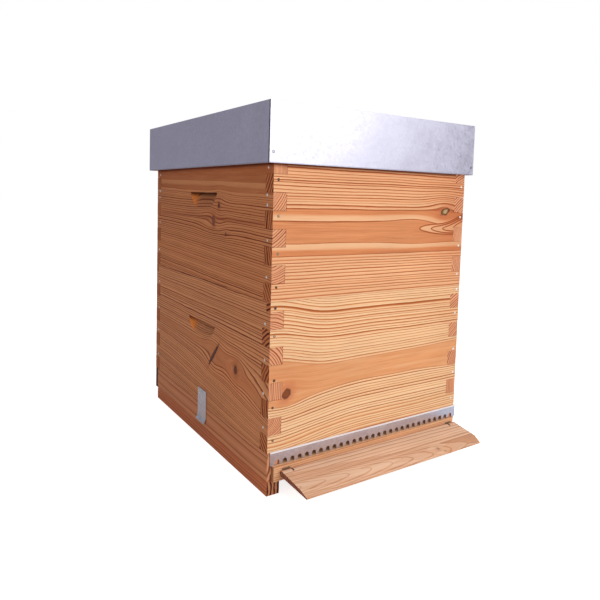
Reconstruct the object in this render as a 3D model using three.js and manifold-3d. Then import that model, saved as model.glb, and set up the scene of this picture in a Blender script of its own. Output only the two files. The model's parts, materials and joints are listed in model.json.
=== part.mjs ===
// Two-storey movable-frame beehive: stand with entrance, two finger-jointed
// pine boxes holding ten frames each, inner cover and sheet-covered lid.
// Millimetres, +Z up, the entrance faces -Y, origin at the middle of the ground outline.
import * as THREE from 'three';
import { ConvexGeometry } from 'three/addons/geometries/ConvexGeometry.js';
import { mergeVertices } from 'three/addons/utils/BufferGeometryUtils.js';
import Module from 'manifold-3d';

// ---------------------------------------------------------------- dimensions
const BODY_W = 425;            // outside width of a box, along X
const BODY_L = 510;            // outside length of a box, along Y
const WALL = 24;               // pine board thickness
const BASE_H = 69;             // ground to underside of the lower box
const BOX_H = 240;             // stacking height of one box
const GAP = 0.3;               // air between two pieces that meet
const BODY_Y = 33.0;           // the boxes' middle, behind the origin

const FINGER = 28;             // height of one corner finger
const REBATE_W = 11;           // frame rebate, across the wall
const REBATE_H = 16;           // frame rebate, down from the box's top edge

const RUNNER_H = 24;           // lower runner of the stand
const SHELF = 16;              // how far the floor planks reach under a rail
const FLOOR_Z = 48.8;          // top of the floor planks
const BACK_RAIL_T = 12;
const SILL_FRONT = -262;       // front edge of the sill plank, from the box's middle
const RAIL_BACK = 242.7;       // back end of rails, runners and floor

const BOARD_X0 = -193.5;         // flight board, left end
const BOARD_X1 = 201.5;          // flight board, right end
const BOARD_SNIPE = 12;         // how far its right end draws in at the front bevel
const BOARD_TIP = -340;        // flight board, front tip
const HINGE_Y = -268.6;        // flight board's hinge line
const HINGE_Z = 38.6;
const HINGE_R = 4.6;           // rounded back edge of the flight board
const PIN_R = 1.5;

const STRIP_T = 1.0;           // entrance strip sheet
const STRIP_Y = -256;          // its back face
const ARCH_N = 29;
const ARCH_PITCH = 14.11;
const ARCH_W = 7.8;
const ARCH_H = 8.2;
const ARCH_FIRST = -194.5;

const LID_X = 225.5;           // half width of the lid
const LID_FRONT = -263;        // lid, from the box's middle
const LID_BACK = 274;
const LID_Z0 = 521;
const LID_Z1 = 614;
const LID_SKIN = 0.8;

const COVER_BATTEN_H = 16.4;
const COVER_BOARD_T = 5;
const COVER_H = 21.7;

const FRAMES = 10;             // frames in one box
const FRAME_PITCH = 37.4;
const HOLD_TOP_UPPER = 165;    // handhold's top edge above its box's bottom edge
const HOLD_TOP_LOWER = 158;
const HOLD_H = 30;
const HOLD_DEPTH = 13.5;
const HOLD_W = 121;
const HOLD_Y = 3;

const HX = BODY_W / 2;         // 212.5
const HY = BODY_L / 2;         // 255
const IX = HX - WALL;          // 188.5
const IY = HY - WALL;          // 231

// ----------------------------------------------------------------- materials
const mat = (color, roughness, metalness = 0) => new THREE.MeshStandardMaterial({ color, roughness, metalness });
const M = {
  pine: mat(0xd9a273, 0.62),
  pineSide: mat(0xb97a4c, 0.62),
  stand: mat(0xa9744f, 0.66),
  flight: mat(0xcf9a78, 0.6),
  dark: mat(0x6d4a45, 0.7),
  frame: mat(0xe0bd88, 0.6),
  cover: mat(0xc9a071, 0.66),
  foam: mat(0xe9e6dc, 0.85),
  galvanised: mat(0xb9b6c6, 0.36, 0.9),
  strip: mat(0xa9a4ab, 0.34, 0.9),
  steel: mat(0x8d8a8a, 0.4, 0.9),
};

// ------------------------------------------------------------------- helpers
const wasm = await Module();
wasm.setup();

function solid(geometry) {
  const g = geometry.index ? geometry.toNonIndexed() : geometry.clone();
  g.deleteAttribute('normal');
  if (g.attributes.uv) g.deleteAttribute('uv');
  const m = mergeVertices(g, 1e-4);
  return new wasm.Manifold(new wasm.Mesh({
    numProp: 3,
    vertProperties: new Float32Array(m.attributes.position.array),
    triVerts: new Uint32Array(m.index.array),
  }));
}

function shape3(manifold) {
  const mesh = manifold.getMesh();
  const g = new THREE.BufferGeometry();
  g.setAttribute('position', new THREE.BufferAttribute(new Float32Array(mesh.vertProperties), 3));
  g.setIndex(new THREE.BufferAttribute(new Uint32Array(mesh.triVerts), 1));
  g.computeVertexNormals();
  return g;
}

// a box between two corners
function slab(x0, x1, y0, y1, z0, z1) {
  const g = new THREE.BoxGeometry(x1 - x0, y1 - y0, z1 - z0);
  g.translate((x0 + x1) / 2, (y0 + y1) / 2, (z0 + z1) / 2);
  return g;
}

const outline = (pts) => new THREE.Shape(pts.map(([a, b]) => new THREE.Vector2(a, b)));

// an outline in Y,Z carried along X from x0 to x1
function alongX(shape, x0, x1, curveSegments = 8) {
  const g = new THREE.ExtrudeGeometry(shape, { depth: x1 - x0, bevelEnabled: false, curveSegments });
  g.applyMatrix4(new THREE.Matrix4().set(0, 0, 1, x0, 1, 0, 0, 0, 0, 1, 0, 0, 0, 0, 0, 1));
  return g;
}

// an outline in X,Z carried along Y from y0 to y1
function alongY(shape, y0, y1, curveSegments = 8) {
  const g = new THREE.ExtrudeGeometry(shape, { depth: y1 - y0, bevelEnabled: false, curveSegments });
  g.applyMatrix4(new THREE.Matrix4().set(1, 0, 0, 0, 0, 0, -1, y1, 0, 1, 0, 0, 0, 0, 0, 1));
  return g;
}

// an outline in X,Y carried along Z from z0 to z1
function alongZ(shape, z0, z1, curveSegments = 8) {
  const g = new THREE.ExtrudeGeometry(shape, { depth: z1 - z0, bevelEnabled: false, curveSegments });
  g.translate(0, 0, z0);
  return g;
}

function mesh(name, geometry, material) {
  const m = new THREE.Mesh(geometry, material.clone());
  m.name = name;
  return m;
}

function joined(list) {
  let body = solid(list[0]);
  for (const g of list.slice(1)) body = body.add(solid(g));
  return shape3(body);
}

// --------------------------------------------------------------- finger walls
// Half-outline steps of a wall: [z0, z1, reach] from the bottom edge to the top.
const H = BOX_H - GAP;
const EDGE = 0.5 * GAP;

function frontSteps() {
  const steps = [];
  for (let k = 0; k * FINGER < BOX_H; k += 1) {
    const a = k * FINGER;
    const b = Math.min(a + FINGER, H);
    const out = k % 2 === 0;
    const z0 = a === 0 ? 0 : out ? a + EDGE : a - EDGE;
    const z1 = b === H ? H : out ? b - EDGE : b + EDGE;
    steps.push([z0, z1, out ? HX : IX - GAP]);
  }
  return steps;
}

function sideSteps() {
  const steps = [];
  for (let k = 0; k * FINGER < BOX_H; k += 1) {
    const a = k * FINGER;
    const b = Math.min(a + FINGER, H);
    const out = k % 2 === 1;
    const z0 = a === 0 ? 0 : out ? a + EDGE : a - EDGE;
    const z1 = b === H ? H : out ? b - EDGE : b + EDGE;
    const reach = out ? HY : (a >= BOX_H - REBATE_H ? IY + REBATE_W - GAP : IY - GAP);
    steps.push([z0, z1, reach]);
  }
  return steps;
}

function fingerOutline(steps) {
  const right = [];
  for (const [z0, z1, reach] of steps) right.push([reach, z0], [reach, z1]);
  const left = right.map(([x, z]) => [-x, z]).reverse();
  return outline([...right, ...left]);
}

// front or back wall; side -1 is the front, +1 the back
function endWall(name, side) {
  const y0 = side < 0 ? -HY : IY;
  const y1 = side < 0 ? -IY : HY;
  const blank = solid(alongY(fingerOutline(frontSteps()), y0, y1));
  const rebate = side < 0
    ? slab(-HX - 5, HX + 5, -IY - REBATE_W, -IY + 5, BOX_H - REBATE_H, BOX_H + 5)
    : slab(-HX - 5, HX + 5, IY - 5, IY + REBATE_W, BOX_H - REBATE_H, BOX_H + 5);
  return mesh(name, shape3(blank.subtract(solid(rebate))), M.pine);
}

// scooped grip: a flat ledge on top, cut in along an arc, running out downwards
function handhold(side, top) {
  const out = 1;
  const half = HOLD_W / 2 * ((HOLD_DEPTH + out) / HOLD_DEPTH) ** 0.25;
  const n = 18;
  const pts = [];
  for (let i = 0; i <= n; i += 1) {
    const t = Math.sin(Math.PI * (i / n - 0.5));
    const depth = (HOLD_DEPTH + out) * (1 - t ** 4);
    const y = HOLD_Y + t * half;
    pts.push(new THREE.Vector3(side * (HX + out - depth), y, top));
    if (depth > 0) pts.push(new THREE.Vector3(side * (HX + out), y, top - depth * HOLD_H / HOLD_DEPTH));
  }
  return new ConvexGeometry(pts);
}

function sideWall(name, side, holdTop) {
  const x0 = side < 0 ? -HX : IX;
  const x1 = side < 0 ? -IX : HX;
  const blank = solid(alongX(fingerOutline(sideSteps()), x0, x1));
  return mesh(name, shape3(blank.subtract(solid(handhold(side, holdTop)))), M.pineSide);
}

// folded metal rest in the frame rebate
function frameRest(name, side) {
  const z = BOX_H - REBATE_H + GAP;
  const y = (v) => side * v;
  const pts = [
    [y(IY + 0.3), z], [y(IY + REBATE_W - 0.3), z], [y(IY + REBATE_W - 0.3), z + 8.6],
    [y(IY + REBATE_W - 1.1), z + 8.6], [y(IY + REBATE_W - 1.1), z + 0.8], [y(IY + 0.3), z + 0.8],
  ];
  return mesh(name, alongX(outline(side < 0 ? pts.reverse() : pts), -IX + 0.5, IX - 0.5), M.steel);
}

// one movable frame: top bar with lugs, shouldered side bars, bottom bar and wax sheet
function hiveFrame(name, x) {
  const zTop = 233.2, zLug = 225.5, sideY = 223;
  const bar = solid(slab(-13, 13, -sideY, sideY, 213.5, zTop));
  const lugs = solid(slab(-11, 11, -IY - REBATE_W + 1.6, IY + REBATE_W - 1.6, zLug, zTop));
  const low = solid(slab(-10, 10, -sideY, sideY, 1.5, 11));
  const wax = solid(slab(-1.6, 1.6, -sideY + 8, sideY - 8, 10, 214));
  const sidePts = [[-12, 1.5], [12, 1.5], [12, 122], [17.4, 134], [17.4, zLug], [-17.4, zLug], [-17.4, 134], [-12, 122]];
  let body = bar.add(lugs).add(low).add(wax);
  for (const s of [-1, 1]) {
    const y0 = s < 0 ? -sideY : sideY - 9;
    body = body.add(solid(alongY(outline(sidePts), y0, y0 + 9)));
  }
  const m = mesh(name, shape3(body), M.frame);
  m.position.x = x;
  return m;
}

function hiveBox(prefix, holdTop) {
  const g = new THREE.Group();
  g.add(endWall(`${prefix}_front_wall`, -1));
  g.add(endWall(`${prefix}_back_wall`, 1));
  g.add(sideWall(`${prefix}_left_wall`, -1, holdTop));
  g.add(sideWall(`${prefix}_right_wall`, 1, holdTop));
  g.add(frameRest(`${prefix}_front_frame_rest`, -1));
  g.add(frameRest(`${prefix}_back_frame_rest`, 1));
  for (let i = 0; i < FRAMES; i += 1) {
    g.add(hiveFrame(`${prefix}_frame_${String(i + 1).padStart(2, '0')}`, (i - (FRAMES - 1) / 2) * FRAME_PITCH));
  }
  return g;
}

// --------------------------------------------------------------------- stand
const body = new THREE.Group();      // everything placed from the boxes' middle
body.position.y = BODY_Y;

for (const [label, s] of [['left', -1], ['right', 1]]) {
  const X = (v) => s * v;
  const section = [
    [X(HX), RUNNER_H + GAP], [X(HX), BASE_H], [X(IX), BASE_H], [X(IX), FLOOR_Z + GAP],
    [X(IX + SHELF), FLOOR_Z + GAP], [X(IX + SHELF), RUNNER_H + GAP],
  ];
  body.add(mesh(`${label}_side_rail`, alongY(outline(s > 0 ? section : section.reverse()), -HY, RAIL_BACK), M.stand));
  const x0 = Math.min(X(IX), X(HX));
  body.add(mesh(`${label}_runner`, slab(x0, x0 + WALL, -HY, RAIL_BACK, 0, RUNNER_H), M.stand));
}
const plankX = IX + SHELF - GAP;
body.add(mesh('front_sill_plank', slab(-plankX, plankX, SILL_FRONT, -132, RUNNER_H + GAP, FLOOR_Z), M.stand));
body.add(mesh('middle_floor_plank', slab(-plankX, plankX, -132 + GAP, 55, RUNNER_H + GAP, FLOOR_Z), M.stand));
body.add(mesh('rear_floor_plank', slab(-plankX, plankX, 55 + GAP, RAIL_BACK, RUNNER_H + GAP, FLOOR_Z), M.stand));
body.add(mesh('back_rail', slab(-HX, HX, HY - BACK_RAIL_T, HY, RUNNER_H + GAP, BASE_H), M.dark));

// ------------------------------------------------------ flight board and hinge
{
  const profile = new THREE.Shape();
  profile.moveTo(HINGE_Y, HINGE_Z - HINGE_R);
  profile.absarc(HINGE_Y, HINGE_Z, HINGE_R, -Math.PI / 2, Math.PI / 2, false);
  profile.lineTo(-321.5, 37.8);
  profile.lineTo(BOARD_TIP, 32.6);
  profile.lineTo(BOARD_TIP + 0.8, 30.9);
  profile.closePath();
  const plank = alongX(profile, BOARD_X0, BOARD_X1, 10);
  const at = plank.attributes.position;
  for (let i = 0; i < at.count; i += 1) {
    // the right end is sawn a little out of square, and more so at the bevel
    if (at.getX(i) > BOARD_X1 - 1) at.setX(i, BOARD_X1 - (at.getY(i) < -330 ? BOARD_SNIPE : at.getY(i) < -300 ? 5 : 0));
  }
  let board = solid(plank);
  const bore = (x0, x1) => {
    const c = new THREE.CylinderGeometry(PIN_R + 0.3, PIN_R + 0.3, x1 - x0, 16);
    c.rotateZ(Math.PI / 2);
    c.translate((x0 + x1) / 2, HINGE_Y, HINGE_Z);
    return solid(c);
  };
  // a slot near each end takes the hinge ear, and the pin's bore crosses it
  board = board.subtract(solid(slab(BOARD_X0 + 17.5, BOARD_X0 + 20.7, -275, -255, 20, 50)));
  board = board.subtract(solid(slab(BOARD_X1 - 20.7, BOARD_X1 - 17.5, -275, -255, 20, 50)));
  board = board.subtract(bore(BOARD_X0 - 2, BOARD_X0 + 31)).subtract(bore(BOARD_X1 - 31, BOARD_X1 + 2));
  body.add(mesh('flight_board', shape3(board), M.flight));

  for (const [label, s, e0] of [['left', -1, BOARD_X0 + 18.35], ['right', 1, BOARD_X1 - 19.85]]) {
    // folded ear: one leg on the sill's front face, the other carrying the pin
    const e1 = e0 + 1.5;
    const w0 = s < 0 ? e0 - 13 : e0;
    const w1 = s < 0 ? e1 : e1 + 13;
    let ear = solid(slab(e0, e1, -271, SILL_FRONT - GAP, 35, 42.2))
      .add(solid(slab(w0, w1, SILL_FRONT - GAP - 1.2, SILL_FRONT - GAP, 33, 44.2)));
    ear = ear.subtract(bore(e0 - 5, e1 + 5));
    body.add(mesh(`${label}_hinge_ear`, shape3(ear), M.steel));
    // the pin, driven in from the board's end
    const pts = [[0, 0], [1.2, 0], [PIN_R, 0.3], [PIN_R, 29.2], [1.2, 29.5], [0, 29.5]].map(([r, h]) => new THREE.Vector2(r, h));
    const pin = new THREE.LatheGeometry(pts, 16);
    pin.rotateZ(s < 0 ? -Math.PI / 2 : Math.PI / 2);
    pin.translate(s < 0 ? BOARD_X0 + 0.6 : BOARD_X1 - 0.6, HINGE_Y, HINGE_Z);
    body.add(mesh(`${label}_hinge_pin`, pin, M.steel));
  }
}

// --------------------------------------------------------- entrance strip
{
  const x0 = -208, x1 = 213.5, z0 = FLOOR_Z + GAP, z1 = 71.4;
  const pts = [[x1, z0], [x1, z1], [x0, z1], [x0, z0]];
  const n = 8;
  for (let i = 0; i < ARCH_N; i += 1) {
    const c = ARCH_FIRST + i * ARCH_PITCH;
    const r = ARCH_W / 2;
    pts.push([c - r, z0]);
    for (let k = 0; k <= n; k += 1) {
      const t = Math.PI * (1 - k / n);
      pts.push([c + r * Math.cos(t), z0 + ARCH_H - r + r * Math.sin(t)]);
    }
    pts.push([c + r, z0]);
  }
  let strip = solid(alongY(outline(pts), STRIP_Y - STRIP_T, STRIP_Y));
  // folded hem along the top, and one tab at each end tucked inside the rails
  strip = strip.add(solid(slab(x0, x1, STRIP_Y - STRIP_T - 0.9, STRIP_Y - STRIP_T + 0.2, z1 - 2.4, z1)));
  strip = strip.add(solid(slab(-IX + 1, -IX + 2, STRIP_Y - 0.5, STRIP_Y + 24, 59.5, 68)));
  strip = strip.add(solid(slab(IX - 2, IX - 1, STRIP_Y - 0.5, STRIP_Y + 24, 59.5, 68)));
  body.add(mesh('entrance_strip', shape3(strip), M.strip));
}

// --------------------------------------------------- locating plates at the sides
for (const [label, s] of [['left', -1], ['right', 1]]) {
  const X = (v) => s * v;
  const pts = [
    [X(HX + 0.3), 97], [X(HX + 0.3), 43.4], [X(HX + 4.4), 34.2], [X(HX + 5.6), 34.8], [X(HX + 1.6), 43.8], [X(HX + 1.6), 97],
  ];
  body.add(mesh(`${label}_locating_plate`, alongY(outline(s > 0 ? pts.reverse() : pts), -26.5, 11), M.steel));
}

// ---------------------------------------------------------------- the two boxes
const lower = hiveBox('lower', HOLD_TOP_LOWER);
lower.position.z = BASE_H + GAP;
body.add(lower);
const upper = hiveBox('upper', HOLD_TOP_UPPER);
upper.position.z = BASE_H + BOX_H + GAP;
body.add(upper);

// ------------------------------------------------------------------ inner cover
{
  const g = new THREE.Group();
  g.position.z = BASE_H + 2 * BOX_H + GAP;
  const b = 22;
  g.add(mesh('cover_front_batten', slab(-HX, HX, -HY, -HY + b, 0, COVER_BATTEN_H), M.cover));
  g.add(mesh('cover_back_batten', slab(-HX, HX, HY - b, HY, 0, COVER_BATTEN_H), M.cover));
  g.add(mesh('cover_left_batten', slab(-HX, -HX + b, -HY + b + GAP, HY - b - GAP, 0, COVER_BATTEN_H), M.cover));
  g.add(mesh('cover_right_batten', slab(HX - b, HX, -HY + b + GAP, HY - b - GAP, 0, COVER_BATTEN_H), M.cover));
  const sheet = outline([[-HX, -HY], [HX, -HY], [HX, HY], [-HX, HY]]);
  const hole = new THREE.Path();
  hole.moveTo(-30, -20);
  hole.lineTo(30, -20);
  hole.absarc(30, 0, 20, -Math.PI / 2, Math.PI / 2, false);
  hole.lineTo(-30, 20);
  hole.absarc(-30, 0, 20, Math.PI / 2, 1.5 * Math.PI, false);
  sheet.holes.push(hole);
  g.add(mesh('cover_board', alongZ(sheet, COVER_BATTEN_H + GAP, COVER_H, 10), M.cover));
  body.add(g);
}

// -------------------------------------------------------------------------- lid
{
  const inX = LID_X - LID_SKIN - GAP;
  const inF = LID_FRONT + LID_SKIN + GAP;
  const inB = LID_BACK - LID_SKIN - GAP;
  const ceilZ = BASE_H + 2 * BOX_H + GAP + COVER_H + GAP;
  const ceilT = 12;
  const railZ0 = LID_Z0 + 1;
  const railZ1 = ceilZ - GAP;
  const clear = 1;
  const skin = solid(slab(-LID_X, LID_X, LID_FRONT, LID_BACK, LID_Z0, LID_Z1))
    .subtract(solid(slab(-LID_X + LID_SKIN, LID_X - LID_SKIN, LID_FRONT + LID_SKIN, LID_BACK - LID_SKIN, LID_Z0 - 5, LID_Z1 - LID_SKIN)));
  body.add(mesh('lid_sheet', shape3(skin), M.galvanised));
  body.add(mesh('lid_front_rail', slab(-inX, inX, inF, -HY - clear, railZ0, railZ1), M.pine));
  body.add(mesh('lid_back_rail', slab(-inX, inX, HY + clear, inB, railZ0, railZ1), M.pine));
  body.add(mesh('lid_left_rail', slab(-inX, -HX - clear, -HY - clear + GAP, HY + clear - GAP, railZ0, railZ1), M.pine));
  body.add(mesh('lid_right_rail', slab(HX + clear, inX, -HY - clear + GAP, HY + clear - GAP, railZ0, railZ1), M.pine));
  body.add(mesh('lid_ceiling_board', slab(-inX, inX, inF, inB, ceilZ, ceilZ + ceilT), M.cover));
  body.add(mesh('lid_insulation', slab(-inX, inX, inF, inB, ceilZ + ceilT + GAP, LID_Z1 - LID_SKIN - GAP), M.foam));
}

const hive = new THREE.Group();
hive.add(body);
hive.updateMatrixWorld(true);

export default hive;
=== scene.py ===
import bpy
import bmesh
import json
import math
import random
from mathutils import Matrix, Vector


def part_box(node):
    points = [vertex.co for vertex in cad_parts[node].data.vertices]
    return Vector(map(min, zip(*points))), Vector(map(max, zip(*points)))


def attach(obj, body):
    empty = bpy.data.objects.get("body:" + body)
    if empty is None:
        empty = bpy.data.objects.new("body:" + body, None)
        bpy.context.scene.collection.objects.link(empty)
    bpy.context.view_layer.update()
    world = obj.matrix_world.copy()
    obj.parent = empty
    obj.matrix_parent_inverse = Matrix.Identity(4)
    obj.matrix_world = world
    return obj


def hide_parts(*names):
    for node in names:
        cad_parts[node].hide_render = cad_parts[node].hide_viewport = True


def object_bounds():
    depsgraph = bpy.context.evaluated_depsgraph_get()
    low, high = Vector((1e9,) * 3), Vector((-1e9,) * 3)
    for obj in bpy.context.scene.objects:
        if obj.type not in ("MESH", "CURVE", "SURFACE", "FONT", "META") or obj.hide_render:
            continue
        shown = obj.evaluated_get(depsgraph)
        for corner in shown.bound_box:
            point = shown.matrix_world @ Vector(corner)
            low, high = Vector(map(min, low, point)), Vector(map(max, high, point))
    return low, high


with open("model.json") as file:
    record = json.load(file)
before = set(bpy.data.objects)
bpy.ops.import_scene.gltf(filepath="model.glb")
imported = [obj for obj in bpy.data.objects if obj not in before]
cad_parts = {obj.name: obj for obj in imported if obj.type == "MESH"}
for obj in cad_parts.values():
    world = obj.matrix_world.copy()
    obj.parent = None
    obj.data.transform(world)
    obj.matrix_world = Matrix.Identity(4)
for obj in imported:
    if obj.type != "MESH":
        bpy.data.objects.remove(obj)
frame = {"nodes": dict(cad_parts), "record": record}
CAD_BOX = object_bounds()
NODES = frame["nodes"]
RECORD = frame["record"]
BODY_OF = {n: b for b, ns in RECORD["behaviour"]["bodies"].items() for n in ns}
scene = bpy.context.scene
rng = random.Random(7)
mm = 0.001


# ------------------------------------------------------------------ node maths
class Tree:
    def __init__(self, name):
        self.m = bpy.data.materials.new(name)
        self.m.use_nodes = True
        self.t = self.m.node_tree
        self.bsdf = self.t.nodes["Principled BSDF"]

    def node(self, kind, **props):
        n = self.t.nodes.new(kind)
        for k, v in props.items():
            setattr(n, k, v)
        return n

    def plug(self, value, socket):
        if isinstance(value, S):
            self.t.links.new(value.s, socket)
        elif isinstance(value, bpy.types.NodeSocket):
            self.t.links.new(value, socket)
        else:
            socket.default_value = value

    def math(self, op, a, b=None, c=None, clamp=False):
        n = self.node("ShaderNodeMath", operation=op, use_clamp=clamp)
        self.plug(a, n.inputs[0])
        if b is not None:
            self.plug(b, n.inputs[1])
        if c is not None:
            self.plug(c, n.inputs[2])
        return S(self, n.outputs[0])

    def vec(self, x, y, z):
        n = self.node("ShaderNodeCombineXYZ")
        for v, i in zip((x, y, z), n.inputs):
            self.plug(v, i)
        return S(self, n.outputs[0])

    def noise(self, v, scale=1.0, detail=2.0, rough=0.5, distortion=0.0):
        n = self.node("ShaderNodeTexNoise", noise_dimensions="3D")
        self.plug(v, n.inputs["Vector"])
        n.inputs["Scale"].default_value = scale
        n.inputs["Detail"].default_value = detail
        n.inputs["Roughness"].default_value = rough
        n.inputs["Distortion"].default_value = distortion
        return S(self, n.outputs["Fac"])

    def noise1(self, w, scale=1.0, detail=1.0):
        n = self.node("ShaderNodeTexNoise", noise_dimensions="1D")
        self.plug(w, n.inputs["W"])
        n.inputs["Scale"].default_value = scale
        n.inputs["Detail"].default_value = detail
        return S(self, n.outputs["Fac"])

    def white(self, w):
        n = self.node("ShaderNodeTexWhiteNoise", noise_dimensions="1D")
        self.plug(w, n.inputs["W"])
        return S(self, n.outputs["Value"])

    def voronoi(self, v, scale, feature="F1", out="Distance", rand=1.0):
        n = self.node("ShaderNodeTexVoronoi", feature=feature)
        self.plug(v, n.inputs["Vector"])
        n.inputs["Scale"].default_value = scale
        n.inputs["Randomness"].default_value = rand
        return S(self, n.outputs[out])

    def smooth(self, x, lo, hi, a=0.0, b=1.0):
        n = self.node("ShaderNodeMapRange", interpolation_type="SMOOTHSTEP")
        self.plug(x, n.inputs["Value"])
        n.inputs["From Min"].default_value = lo
        n.inputs["From Max"].default_value = hi
        n.inputs["To Min"].default_value = a
        n.inputs["To Max"].default_value = b
        return S(self, n.outputs["Result"])

    def mix(self, fac, a, b, mode="MIX"):
        n = self.node("ShaderNodeMix", data_type="RGBA", blend_type=mode)
        self.plug(fac, n.inputs[0])
        self.plug(col(a), n.inputs[6])
        self.plug(col(b), n.inputs[7])
        return S(self, n.outputs[2])

    def ramp(self, fac, stops):
        n = self.node("ShaderNodeValToRGB")
        self.plug(fac, n.inputs[0])
        e = n.color_ramp.elements
        while len(e) < len(stops):
            e.new(0.5)
        for el, (p, c) in zip(e, stops):
            el.position = p
            el.color = col(c)
        return S(self, n.outputs[0])

    def bump(self, height, distance, strength=1.0):
        n = self.node("ShaderNodeBump")
        self.plug(height, n.inputs["Height"])
        n.inputs["Distance"].default_value = distance
        n.inputs["Strength"].default_value = strength
        return S(self, n.outputs["Normal"])

    def object_mm(self):
        tc = self.node("ShaderNodeTexCoord")
        sc = self.node("ShaderNodeVectorMath", operation="SCALE")
        self.t.links.new(tc.outputs["Object"], sc.inputs[0])
        sc.inputs["Scale"].default_value = 1000.0
        sep = self.node("ShaderNodeSeparateXYZ")
        self.t.links.new(sc.outputs[0], sep.inputs[0])
        sepn = self.node("ShaderNodeSeparateXYZ")
        self.t.links.new(tc.outputs["Normal"], sepn.inputs[0])
        return [S(self, o) for o in sep.outputs], [S(self, o) for o in sepn.outputs], S(self, sc.outputs[0])

    def out(self, colour=None, rough=None, normal=None, **values):
        if colour is not None:
            self.plug(colour, self.bsdf.inputs["Base Color"])
        if rough is not None:
            self.plug(rough, self.bsdf.inputs["Roughness"])
        if normal is not None:
            self.plug(normal, self.bsdf.inputs["Normal"])
        for k, v in values.items():
            self.bsdf.inputs[k.replace("_", " ")].default_value = v
        return self.m


def col(c):
    if isinstance(c, (tuple, list)) and len(c) == 3:
        return (c[0], c[1], c[2], 1.0)
    return c


class S:
    def __init__(self, tree, s):
        self.tree, self.s = tree, s

    def _m(self, op, o):
        return self.tree.math(op, self, o)

    def __add__(self, o): return self._m("ADD", o)
    def __radd__(self, o): return self._m("ADD", o)
    def __sub__(self, o): return self._m("SUBTRACT", o)
    def __rsub__(self, o): return self.tree.math("SUBTRACT", o, self)
    def __mul__(self, o): return self._m("MULTIPLY", o)
    def __rmul__(self, o): return self._m("MULTIPLY", o)
    def __truediv__(self, o): return self._m("DIVIDE", o)
    def __pow__(self, o): return self._m("POWER", o)
    def abs(self): return self.tree.math("ABSOLUTE", self)
    def sqrt(self): return self.tree.math("SQRT", self)
    def exp(self): return self.tree.math("EXPONENT", self)
    def floor(self): return self.tree.math("FLOOR", self)
    def fract(self): return self.tree.math("FRACT", self)


def srgb(r, g, b):
    def f(v):
        v /= 255.0
        return v / 12.92 if v <= 0.04045 else ((v + 0.055) / 1.055) ** 2.4
    return (f(r), f(g), f(b))


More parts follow.
